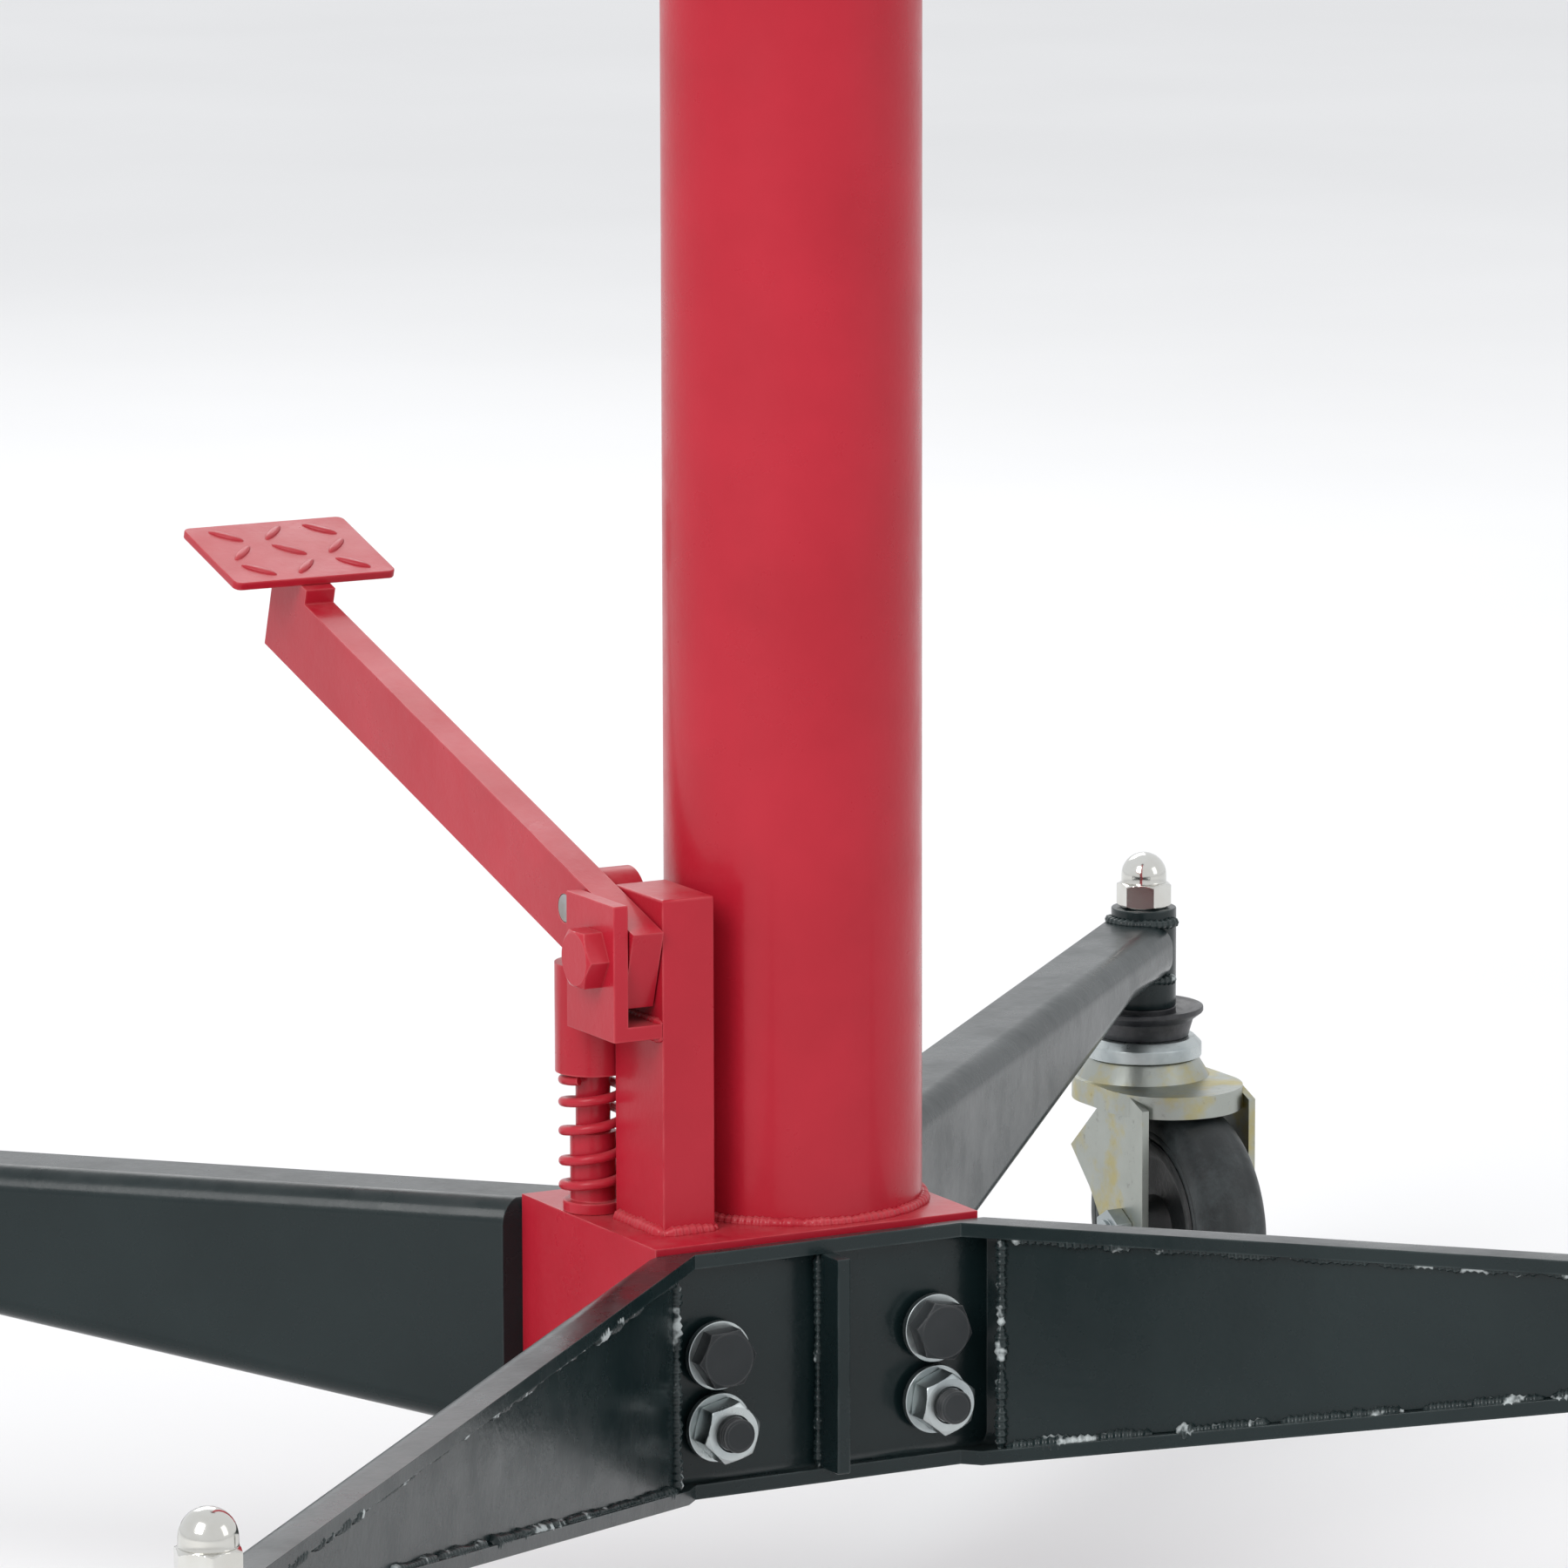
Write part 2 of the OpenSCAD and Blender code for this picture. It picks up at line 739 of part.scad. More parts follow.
// One sliding arm with its slot and its upright finger, drawn at its innermost place
module saddle_arm(k) {
    slot_w = 2 * m10_r + 1;
    slot_from = arm_bolt_at - arm_travel;
    color(black) at_arm(k) translate([0, 0, arm_top - arm_t]) difference() {
        union() {
            translate([arm_from, -arm_w / 2, 0]) cube([arm_to - arm_from, arm_w, arm_t]);
            translate([arm_to - arm_t, -arm_w / 2, arm_t]) cube([arm_t, arm_w, finger_h]);
            translate([arm_to - arm_t, 0, arm_t + finger_h]) xcyl(arm_w / 2, arm_t);
        }
        for (x = [slot_from, arm_bolt_at]) translate([x, 0, -slack])
            cylinder(r = slot_w / 2, h = arm_t + 2 * slack);
        translate([slot_from, -slot_w / 2, -slack])
            cube([arm_travel, slot_w, arm_t + 2 * slack]);
    }
}

// ---------- casters ----------

// Puts the children under caster c: +Y points from the swivel axis to the axle, +X inwards
module at_fork(c) {
    side = CASTERS[c];
    translate([side.x * caster_xy, side.y * caster_xy, 0])
        mirror([side.x > 0 ? 1 : 0, 0, 0]) mirror([0, side.y > 0 ? 1 : 0, 0]) children();
}

// The crown's outline, a slot shape that reaches out over the wheel
module crown_outline(r) {
    circle(r = r);
    translate([-r, 0]) square([2 * r, crown_len]);
    translate([0, crown_len]) circle(r = r);
}

// The outline of one cheek of a fork, in y and z
module cheek_outline() {
    front = trail + axle_boss;
    heel = -12.5;
    difference() {
        union() {
            polygon([[18, deck_top - 1], [34, deck_top - 1], [front, rim_bottom + 4],
                     [front, wheel_r], [trail - axle_boss, wheel_r],
                     [heel + 15, wheel_r + 13], [heel, rim_bottom - 19.5]]);
            translate([trail, wheel_r]) circle(r = axle_boss);
        }
        translate([trail, wheel_r]) circle(r = axle_r);
    }
}

module fork(c) {
    bore = stem_r + run_gap;
    neck = race_r - 1.4;
    color(zinc) at_fork(c) difference() {
        union() {
            rotate_extrude() polygon([
                [bore, crown_top - crown_t], [bore, crown_top], [neck, crown_top],
                [crown_r - 2, deck_top], [crown_r - 2, deck_top - sheet_t],
                [neck + 1, deck_top - sheet_t], [neck - 3, crown_top - crown_t]]);
            difference() {
                translate([0, 0, rim_bottom]) linear_extrude(deck_top - rim_bottom)
                    crown_outline(crown_r);
                translate([0, 0, rim_bottom - slack])
                    linear_extrude(deck_top - rim_bottom - sheet_t + slack)
                        crown_outline(crown_r - sheet_t);
                translate([0, 0, rim_bottom]) cylinder(r = neck + 1, h = deck_top - rim_bottom + slack);
            }
            for (s = [-1, 1]) translate([s > 0 ? fork_in : -fork_in - cheek_t, 0, 0])
                rotate([90, 0, 90]) linear_extrude(cheek_t) cheek_outline();
        }
        ball_track();
    }
}

module axle(c) {
    head = 5;
    nut = 7;
    thread = 2;
    outer = fork_in + cheek_t;
    color(zinc) at_fork(c) translate([-outer, trail, wheel_r]) {
        xcyl(axle_r, 2 * outer + nut + thread);
        translate([-head, 0, 0]) rotate([0, 90, 0]) hex(16, head);
        translate([2 * outer, 0, 0]) rotate([0, 90, 0]) hex(16, nut);
    }
}

module hub(c) {
    color(steel) at_fork(c) translate([0, trail, wheel_r]) rotate([0, 90, 0])
        translate([0, 0, -hub_w / 2]) rotate_extrude() polygon([
            [axle_r + run_gap, 0], [11, 0], [13, 6], [hub_r - 6, 6], [hub_r - 3, 2], [hub_r, 2],
            [hub_r, hub_w - 2], [hub_r - 3, hub_w - 2], [hub_r - 6, hub_w - 6],
            [13, hub_w - 6], [11, hub_w], [axle_r + run_gap, hub_w]]);
}

module tyre(c) {
    shoulder = 7;
    color(rubber) at_fork(c) translate([0, trail, wheel_r]) rotate([0, 90, 0])
        rotate_extrude() union() {
            translate([hub_r, -tyre_w / 2]) square([wheel_r - hub_r - shoulder, tyre_w]);
            translate([hub_r, shoulder - tyre_w / 2])
                square([wheel_r - hub_r, tyre_w - 2 * shoulder]);
            for (s = [-1, 1]) translate([wheel_r - shoulder, s * (tyre_w / 2 - shoulder)])
                circle(r = shoulder);
        }
}

// ---------- nodes ----------

base_block();
front_leg_frame();
rear_leg_frame();
leg_side_plates();
frame_ribs();
frame_bolts();
frame_nuts();
frame_washers();
caster_sleeves();
caster_stems();
acorn_nuts();
swivel_dust_caps();
swivel_races();
swivel_balls();
column_tube();
cylinder_tube();
top_gland();
rod_wiper();
filler_plug();
valve_balls();
valve_plugs();
pump_post();
pump_bracket();
pivot_bolt();
pump_barrel();
pedal_arm();
pedal_pad();
plunger_pin();
plunger_rod();
plunger_head();
plunger_seal();
return_spring();
release_spindle();
release_handle();
ram_tube();
piston();
piston_seal();
saddle_socket();
saddle_plate();
saddle_bolts();
saddle_arm(0);  // saddle_arm_1
saddle_arm(1);  // saddle_arm_2
saddle_arm(2);  // saddle_arm_3
saddle_arm(3);  // saddle_arm_4
fork(0);  // fork_fl
fork(1);  // fork_fr
fork(2);  // fork_rl
fork(3);  // fork_rr
axle(0);  // axle_fl
axle(1);  // axle_fr
axle(2);  // axle_rl
axle(3);  // axle_rr
hub(0);  // hub_fl
hub(1);  // hub_fr
hub(2);  // hub_rl
hub(3);  // hub_rr
tyre(0);  // tyre_fl
tyre(1);  // tyre_fr
tyre(2);  // tyre_rl
tyre(3);  // tyre_rr
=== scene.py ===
import json
import math
import random

import bmesh
import bpy
from mathutils import Matrix, Vector

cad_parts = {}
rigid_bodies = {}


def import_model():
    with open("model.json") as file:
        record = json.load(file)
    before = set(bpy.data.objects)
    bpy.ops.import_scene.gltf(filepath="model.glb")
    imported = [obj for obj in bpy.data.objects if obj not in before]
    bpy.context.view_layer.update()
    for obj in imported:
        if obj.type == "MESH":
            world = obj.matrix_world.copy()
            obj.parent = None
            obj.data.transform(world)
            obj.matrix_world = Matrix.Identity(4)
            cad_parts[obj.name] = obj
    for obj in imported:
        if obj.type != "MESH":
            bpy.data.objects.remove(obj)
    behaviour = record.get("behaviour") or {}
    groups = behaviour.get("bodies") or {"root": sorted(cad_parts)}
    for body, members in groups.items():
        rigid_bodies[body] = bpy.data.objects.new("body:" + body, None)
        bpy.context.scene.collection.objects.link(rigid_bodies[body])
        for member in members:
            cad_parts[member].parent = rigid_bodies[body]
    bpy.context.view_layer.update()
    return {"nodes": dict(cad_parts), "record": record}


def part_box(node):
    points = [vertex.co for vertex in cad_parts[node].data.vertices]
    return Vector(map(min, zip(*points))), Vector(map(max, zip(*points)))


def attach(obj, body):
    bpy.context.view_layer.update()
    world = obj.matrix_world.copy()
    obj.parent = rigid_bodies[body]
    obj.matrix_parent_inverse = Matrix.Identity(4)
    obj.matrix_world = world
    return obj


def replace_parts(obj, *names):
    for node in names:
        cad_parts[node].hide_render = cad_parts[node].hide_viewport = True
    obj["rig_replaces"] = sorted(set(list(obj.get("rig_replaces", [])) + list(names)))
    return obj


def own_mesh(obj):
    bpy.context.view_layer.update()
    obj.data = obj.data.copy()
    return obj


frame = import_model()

# Looks of a foot-pumped transmission jack. Lengths are in metres, angles in degrees, +Z is up.
MM = 0.001
M12_ACROSS = 19 * MM          # across an M12 nut's or bolt head's flats
PEDAL_REST = 17               # the pedal's angle above level, at rest
CORNERS = ("fl", "fr", "rl", "rr")
NODE_SLOT = {s["node"]: s["material_slot"] for s in frame["record"]["subparts"]}


# ---------- node trees ----------

def add(tree, kind, inputs=None, **settings):
    """Adds a shader node, sets its properties, and sets or links its inputs."""
    n = tree.nodes.new(kind)
    for key, value in settings.items():
        setattr(n, key, value)
    for key, value in (inputs or {}).items():
        if isinstance(value, bpy.types.NodeSocket):
            tree.links.new(value, n.inputs[key])
        else:
            n.inputs[key].default_value = value
    return n


def noise(tree, coords, scale, detail=3.0, roughness=0.55, stretch=(1, 1, 1)):
    """The factor of a noise texture, stretched along an axis where stretch is under 1."""
    mapped = add(tree, "ShaderNodeMapping", {"Vector": coords, "Scale": stretch}).outputs[0]
    return add(tree, "ShaderNodeTexNoise",
               {"Vector": mapped, "Scale": scale, "Detail": detail, "Roughness": roughness}).outputs[0]


def spread(tree, value, low, high, to_low=0.0, to_high=1.0):
    """Maps value from low..high to to_low..to_high, clamped."""
    return add(tree, "ShaderNodeMapRange", {"Value": value, "From Min": low, "From Max": high,
                                            "To Min": to_low, "To Max": to_high}).outputs[0]


def maths(tree, operation, a, b):
    return add(tree, "ShaderNodeMath", {0: a, 1: b}, operation=operation).outputs[0]


def blend_colour(tree, factor, a, b):
    n = add(tree, "ShaderNodeMix", data_type="RGBA")
    for socket, value in ((n.inputs[0], factor), (n.inputs[6], a), (n.inputs[7], b)):
        if isinstance(value, bpy.types.NodeSocket):
            tree.links.new(value, socket)
        else:
            socket.default_value = value
    return n.outputs[2]


def rgb(r, g, b):
    return (r, g, b, 1.0)


def new_material(name):
    """An empty material: its tree, its shader and its object coordinates."""
    m = bpy.data.materials.new(name)
    m.use_nodes = True
    tree = m.node_tree
    tree.nodes.clear()
    shader = tree.nodes.new("ShaderNodeBsdfPrincipled")
    out = tree.nodes.new("ShaderNodeOutputMaterial")
    tree.links.new(shader.outputs[0], out.inputs[0])
    coords = tree.nodes.new("ShaderNodeTexCoord").outputs["Object"]
    return m, tree, shader, coords


def edge_mask(tree, radius, low, high):
    """1 along sharp edges, 0 on flat faces."""
    rounded = add(tree, "ShaderNodeBevel", {"Radius": radius}, samples=4).outputs[0]
    normal = tree.nodes.new("ShaderNodeNewGeometry").outputs["True Normal"]
    dot = add(tree, "ShaderNodeVectorMath", {0: rounded, 1: normal}, operation="DOT_PRODUCT")
    return spread(tree, dot.outputs["Value"], high, low)


def facing_up(tree):
    """0 on walls and undersides, 1 on level tops."""
    normal = tree.nodes.new("ShaderNodeNewGeometry").outputs["Normal"]
    z = add(tree, "ShaderNodeSeparateXYZ", {0: normal}).outputs["Z"]
    return spread(tree, z, 0.3, 0.95)


def bump(tree, shader, height, distance, strength=1.0):
    b = add(tree, "ShaderNodeBump", {"Height": height, "Distance": distance, "Strength": strength})
    tree.links.new(b.outputs[0], shader.inputs["Normal"])


def paint(name, deep, light, edge, dust, chip, peel=0.00006, coat=0.12, rough=(0.24, 0.40), shine=0.22):
    """Sprayed enamel: orange peel, uneven film, thin paint on edges, dust on tops and a few chips."""
    m, t, shader, co = new_material(name)
    film = noise(t, co, 11.0, 4.0, 0.6)
    colour = blend_colour(t, spread(t, film, 0.35, 0.68), deep, light)
    worn = maths(t, "MULTIPLY", edge_mask(t, 0.0011, 0.86, 0.995), spread(t, noise(t, co, 60.0), 0.34, 0.62))
    colour = blend_colour(t, maths(t, "MULTIPLY", worn, 0.55), colour, edge)
    dusty = maths(t, "MULTIPLY", facing_up(t), spread(t, noise(t, co, 26.0, 5.0, 0.7), 0.40, 0.72))
    colour = blend_colour(t, maths(t, "MULTIPLY", dusty, 0.22), colour, dust)
    cells = add(t, "ShaderNodeTexVoronoi", {"Vector": co, "Scale": 9.0}).outputs["Distance"]
    ragged = maths(t, "ADD", cells, spread(t, noise(t, co, 700.0), 0.3, 0.7, -0.008, 0.008))
    chipped = spread(t, ragged, 0.020, 0.015)
    colour = blend_colour(t, chipped, colour, chip)
    t.links.new(colour, shader.inputs["Base Color"])
    gloss = spread(t, noise(t, co, 34.0, 5.0, 0.65), 0.3, 0.7, rough[0], rough[1])
    gloss = maths(t, "ADD", gloss, maths(t, "MULTIPLY", dusty, 0.18))
    t.links.new(maths(t, "ADD", gloss, maths(t, "MULTIPLY", chipped, 0.3)), shader.inputs["Roughness"])
    shader.inputs["Coat Weight"].default_value = coat
    shader.inputs["Specular IOR Level"].default_value = shine
    shader.inputs["Coat Roughness"].default_value = 0.12
    skin = maths(t, "ADD", noise(t, co, 420.0, 2.0), maths(t, "MULTIPLY", noise(t, co, 70.0), 2.5))
    bump(t, shader, maths(t, "SUBTRACT", skin, maths(t, "MULTIPLY", chipped, 2.0)), peel)
    return m


def plated(name, base, stain, stained=(0.45, 0.62), rough=(0.24, 0.44), scratch=0.00003,
           dirty=0.45):
    """Zinc or chrome plating with passivation stains, fine scratches and grime in patches."""
    m, t, shader, co = new_material(name)
    colour = blend_colour(t, spread(t, noise(t, co, 42.0, 4.0, 0.6), *stained), base, stain)
    grime = spread(t, noise(t, co, 160.0, 5.0, 0.75), 0.60, 0.78)
    colour = blend_colour(t, maths(t, "MULTIPLY", grime, dirty), colour, rgb(0.10, 0.095, 0.085))
    t.links.new(colour, shader.inputs["Base Color"])
    shader.inputs["Metallic"].default_value = 1.0
    gloss = spread(t, noise(t, co, 90.0, 4.0, 0.7), 0.3, 0.7, *rough)
    t.links.new(maths(t, "ADD", gloss, maths(t, "MULTIPLY", grime, 0.2)), shader.inputs["Roughness"])
    lines = noise(t, co, 900.0, 3.0, 0.6, stretch=(1, 1, 0.08))
    bump(t, shader, maths(t, "ADD", lines, noise(t, co, 260.0)), scratch)
    return m


def rubbery(name, base, dust, rough=(0.42, 0.66), grain=0.00012, dusted=0.5):
    """Rubber or moulded plastic: fine grain, scuffs and floor dust."""
    m, t, shader, co = new_material(name)
    scuff = spread(t, noise(t, co, 48.0, 6.0, 0.75), 0.46, 0.74)
    colour = blend_colour(t, maths(t, "MULTIPLY", scuff, dusted), base, dust)
    t.links.new(colour, shader.inputs["Base Color"])
    gloss = spread(t, noise(t, co, 75.0, 4.0), 0.3, 0.7, *rough)
    t.links.new(maths(t, "ADD", gloss, maths(t, "MULTIPLY", scuff, 0.15)), shader.inputs["Roughness"])
    bump(t, shader, maths(t, "ADD", noise(t, co, 520.0, 3.0), maths(t, "MULTIPLY", scuff, 0.6)), grain)
    return m


MATERIALS = {
    "red_paint": paint("red_enamel", rgb(0.37, 0.010, 0.022), rgb(0.44, 0.014, 0.030),
                       rgb(0.62, 0.14, 0.15), rgb(0.60, 0.30, 0.28), rgb(0.10, 0.05, 0.045)),
    "black_paint": paint("black_enamel", rgb(0.005, 0.012, 0.013), rgb(0.009, 0.018, 0.019),
                         rgb(0.08, 0.10, 0.10), rgb(0.12, 0.13, 0.13), rgb(0.20, 0.19, 0.17),
                         coat=0.15, rough=(0.18, 0.34), shine=0.25),
    "dark_bolt": paint("black_oxide", rgb(0.020, 0.023, 0.025), rgb(0.040, 0.044, 0.046),
                       rgb(0.22, 0.22, 0.22), rgb(0.10, 0.10, 0.10), rgb(0.16, 0.12, 0.09),
                       coat=0.0, rough=(0.38, 0.55)),
    "zinc_plate": plated("bright_zinc", rgb(0.48, 0.52, 0.52), rgb(0.36, 0.40, 0.41)),
    "fork_zinc": plated("yellow_zinc", rgb(0.36, 0.38, 0.35), rgb(0.40, 0.36, 0.19),
                        stained=(0.50, 0.63), rough=(0.30, 0.48)),
    "chrome": plated("chrome", rgb(0.66, 0.66, 0.63), rgb(0.61, 0.60, 0.56), rough=(0.10, 0.16),
                     scratch=0.000005, dirty=0.05),
    "plain_steel": plated("oiled_steel", rgb(0.40, 0.40, 0.40), rgb(0.30, 0.28, 0.25), rough=(0.3, 0.5)),
    "seal_rubber": rubbery("seal_rubber", rgb(0.014, 0.014, 0.015), rgb(0.08, 0.08, 0.078)),
    "black_plastic": rubbery("moulded_black", rgb(0.012, 0.013, 0.016), rgb(0.10, 0.10, 0.105),
                             rough=(0.28, 0.45)),
    "wheel_hub": rubbery("hub_nylon", rgb(0.016, 0.018, 0.019), rgb(0.09, 0.092, 0.09), rough=(0.35, 0.5)),
    "tyre_rubber": rubbery("tyre_rubber", rgb(0.009, 0.013, 0.014), rgb(0.085, 0.105, 0.108),
                           rough=(0.34, 0.56)),
}


def weld_enamel_painted_glints():
    """Black enamel on a rough weld, with light grey flecks in noise patches here and there: painted glints.
    """
    m = MATERIALS["black_paint"].copy()
    m.name = "black_weld_painted_glints"
    t = m.node_tree
    shader = t.nodes["Principled BSDF"]
    co = t.nodes["Texture Coordinate"].outputs["Object"]
    under = shader.inputs["Base Color"].links[0].from_socket
    # light grey flecks in noise patches on the weld: painted glints
    painted_glint = spread(t, noise(t, co, 95.0, 3.0), 0.56, 0.62)
    t.links.new(blend_colour(t, painted_glint, under, rgb(0.42, 0.46, 0.46)), shader.inputs["Base Color"])
    return m


MATERIALS["black_weld_painted_glints"] = weld_enamel_painted_glints()


# ---------- pieces ----------

def make_object(name, mesh, slot, body, smooth_angle=35.0, finish=None):
    """Links a mesh as a piece that rides on a body, with its slot's material."""
    obj = bpy.data.objects.new(name, mesh)
    bpy.context.scene.collection.objects.link(obj)
    mesh.materials.append(MATERIALS[finish or slot])
    shade(obj, smooth_angle)
    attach(obj, body)
    return obj


def shade(obj, angle):
    """Smooth shading that breaks at edges sharper than angle."""
    mesh = obj.data
    mesh.polygons.foreach_set("use_smooth", [True] * len(mesh.polygons))
    bm = bmesh.new()
    bm.from_mesh(mesh)
    limit = math.radians(angle)
    for e in bm.edges:
        e.smooth = len(e.link_faces) == 2 and e.calc_face_angle(0.0) < limit
    bm.to_mesh(mesh)
    bm.free()


def round_edges(obj, width, segments=2, angle=32.0, weld=True):
    """Rounds an object's sharp edges with modifiers, so that they catch the light."""
    if weld:
        w = obj.modifiers.new("weld", "WELD")
        w.merge_threshold = 0.00001
        flat = obj.modifiers.new("flat", "DECIMATE")
        flat.decimate_type = "DISSOLVE"
        flat.angle_limit = math.radians(0.4)
    b = obj.modifiers.new("bevel", "BEVEL")
    b.width = width
    b.segments = segments
    b.limit_method = "ANGLE"
    b.angle_limit = math.radians(angle)
    b.harden_normals = False
    b.use_clamp_overlap = True
    s = obj.modifiers.new("normals", "WEIGHTED_NORMAL")
    s.keep_sharp = True
    return obj


def grid_mesh(name, rings, close_ring=True, close_path=False, cap=True):
    """A mesh from rings of points, each ring joined to the next."""
    bm = bmesh.new()
    rows = [[bm.verts.new(p) for p in ring] for ring in rings]
    count = len(rows[0])
    last = len(rows) if close_path else len(rows) - 1
    for i in range(last):
        a, b = rows[i], rows[(i + 1) % len(rows)]
        for k in range(count if close_ring else count - 1):
            m = (k + 1) % count
            bm.faces.new((a[k], a[m], b[m], b[k]))
    if cap and not close_path:
        bm.faces.new(rows[0][::-1])
        bm.faces.new(rows[-1])
    bmesh.ops.remove_doubles(bm, verts=bm.verts, dist=1e-7)
    bmesh.ops.recalc_face_normals(bm, faces=bm.faces)
    mesh = bpy.data.meshes.new(name)
    bm.to_mesh(mesh)
    bm.free()
    return mesh


def join_meshes(name, meshes):
    """One mesh out of several."""
    bm = bmesh.new()
    for m in meshes:
        bm.from_mesh(m)
        bpy.data.meshes.remove(m)
    out = bpy.data.meshes.new(name)
    bm.to_mesh(out)
    bm.free()
    return out


def lathe(profile, place, steps=96, hex_across=None):
    """Turns (radius, height) points about +Z and places the result. Within hex_across, where it is
    given, a ring's radius stops at a hexagon's flats, which gives a nut its chamfered corners."""
    rings = []
    for r, z in profile:
        ring = []
        for k in range(steps):
            a = 2 * math.pi * k / steps
            reach = r
            if hex_across:
                sixth = math.pi / 3
                reach = min(r, hex_across / 2 / math.cos((a % sixth) - sixth / 2))
            ring.append(place @ Vector((reach * math.cos(a), reach * math.sin(a), z)))
        rings.append(ring)
    return grid_mesh("lathe", rings)


def lathe_loop(profile, place, steps):
    """Turns a closed outline, so that the result is a ring."""
    rings = []
    for r, z in profile[:-1]:
        rings.append([place @ Vector((r * math.cos(2 * math.pi * k / steps),
                                      r * math.sin(2 * math.pi * k / steps), z)) for k in range(steps)])
    return grid_mesh("ring", rings, close_path=True)


def sweep(path, radius_at, sides=10, closed=False):
    """A round rod along a path. radius_at(i) gives its radius at point i."""
    rings = []
    count = len(path)
    side = None
    for i, p in enumerate(path):
        ahead = path[(i + 1) % count] if closed else path[min(i + 1, count - 1)]
        behind = path[i - 1] if closed else path[max(i - 1, 0)]
        along = (ahead - behind).normalized()
        if side is None:
            side = along.orthogonal().normalized()
        side = (side - along * side.dot(along)).normalized()
        other = along.cross(side)
        r = radius_at(i)
        rings.append([p + side * r * math.cos(2 * math.pi * k / sides)
                      + other * r * math.sin(2 * math.pi * k / sides) for k in range(sides)])
    return grid_mesh("sweep", rings, close_path=closed)


def bead(path, radius, rng, closed=False, ripple=0.22, pitch=2.6 * MM):
    """A weld bead: a rod with the ripples and lumps of its puddles."""
    dense = resample(path, pitch / 4, closed)
    lumps = [rng.uniform(-1, 1) for _ in range(len(dense) // 6 + 3)]

    def radius_at(i):
        wave = math.sin(math.pi / 2 * i) * ripple * 0.5
        at, part = divmod(i / 6, 1.0)
        lump = lumps[int(at)] * (1 - part) + lumps[int(at) + 1] * part
        ends = 1.0 if closed else min(1.0, 0.35 + 0.2 * min(i, len(dense) - 1 - i))
        return radius * (1 + wave + lump * ripple) * ends

    return sweep(dense, radius_at, sides=8, closed=closed)


def resample(path, step, closed=False):
    """Points about step apart along a path."""
    points = [Vector(p) for p in path]
    if closed:
        points.append(points[0])
    out = []
    for a, b in zip(points, points[1:]):
        n = max(1, round((b - a).length / step))
        out += [a.lerp(b, k / n) for k in range(n)]
    return out if closed else out + [points[-1]]


def circle(centre, radius, z, count=64, start=0.0, stop=360.0):
    """Points on a level arc."""
    full = abs(stop - start) >= 360.0
    last = count if full else count - 1
    angles = [math.radians(start + (stop - start) * k / last) for k in range(count)]
    return [Vector((centre[0] + radius * math.cos(a), centre[1] + radius * math.sin(a), z)) for a in angles]


def steps_between(a, b, step):
    """Numbers from a to b, about step apart."""
    n = max(1, round(abs(b - a) / step))
    return [a + (b - a) * k / n for k in range(n + 1)]


def middle(node):
    low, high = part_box(node)
    return (low + high) / 2


def size(node):
    low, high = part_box(node)
    return high - low


# ---------- the CAD's own dimensions, read back from its boxes ----------

BLOCK_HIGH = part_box("base_block")[1]
BLOCK_TOP = BLOCK_HIGH.z
FRAME_LOW, FRAME_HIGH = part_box("rear_leg_frame")
FRAME_TOP = FRAME_HIGH.z
FRAME_H = FRAME_HIGH.z - FRAME_LOW.z
COLUMN = middle("column_tube").xy
COLUMN_R = size("column_tube").x / 2
SLEEVE_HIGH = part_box("caster_sleeves")[1]
SLEEVE_R = 13 * MM
AXIS = SLEEVE_HIGH.x - SLEEVE_R          # each caster's axis, along X and along Y
WHEEL_R = size("tyre_fl").z / 2
TYRE_W = size("tyre_fl").x


# ---------- folded frames ----------

BEND_X = 70 * MM
PLATE = 5 * MM
FOLD = 9 * MM
TIP_H = 22.5 * MM
LEG_ALONG = Vector((math.sqrt(0.5), math.sqrt(0.5)))
LEG_ACROSS = Vector((-math.sqrt(0.5), math.sqrt(0.5)))
WEB_Y = BLOCK_HIGH.y
AXIS_S = (2 * AXIS - BEND_X - WEB_Y) * math.sqrt(0.5)
LEVEL_S = AXIS_S - 67 * MM
LEG_END_S = AXIS_S - 8 * MM
FRAME_SIDES = {"front_leg_frame": -1, "rear_leg_frame": 1}
FRAME_DEPTH = {"front_leg_frame": 18.5 * MM, "rear_leg_frame": 28 * MM}


def leg_height(s):
    """Height of a leg's channel at s along it from the bend."""
    rise = (FRAME_H - TIP_H) * min(max(s, 0.0), LEVEL_S) / LEVEL_S
    return FRAME_H - rise


def channel_profile(depth, h, arc_steps=6):
    """The channel's section as (distance from the web's outer face, height under the top)."""
    def arc(cx, cz, r, from_deg):
        angles = [math.radians(from_deg + 90 * k / arc_steps) for k in range(arc_steps + 1)]
        return [(cx + r * math.cos(a), cz + r * math.sin(a)) for a in angles]

    outer = [(depth, 0.0)] + arc(FOLD, -FOLD, FOLD, 90) + arc(FOLD, FOLD - h, FOLD, 180) + [(depth, -h)]
    inner_r = FOLD - PLATE
    inner = [(depth, PLATE - h)]
    inner += arc(FOLD, FOLD - h, inner_r, 180)[::-1] + arc(FOLD, -FOLD, inner_r, 90)[::-1]
    return outer + inner + [(depth, -PLATE)]


def leg_point(s, d, z, side_x, side_y):
    """A point of a leg: s along it from the bend, d from its web's outer face, z under the top."""
    plan = Vector((BEND_X, WEB_Y)) + LEG_ALONG * s + LEG_ACROSS * d
    return Vector((side_x * plan.x, side_y * plan.y, FRAME_TOP + z))


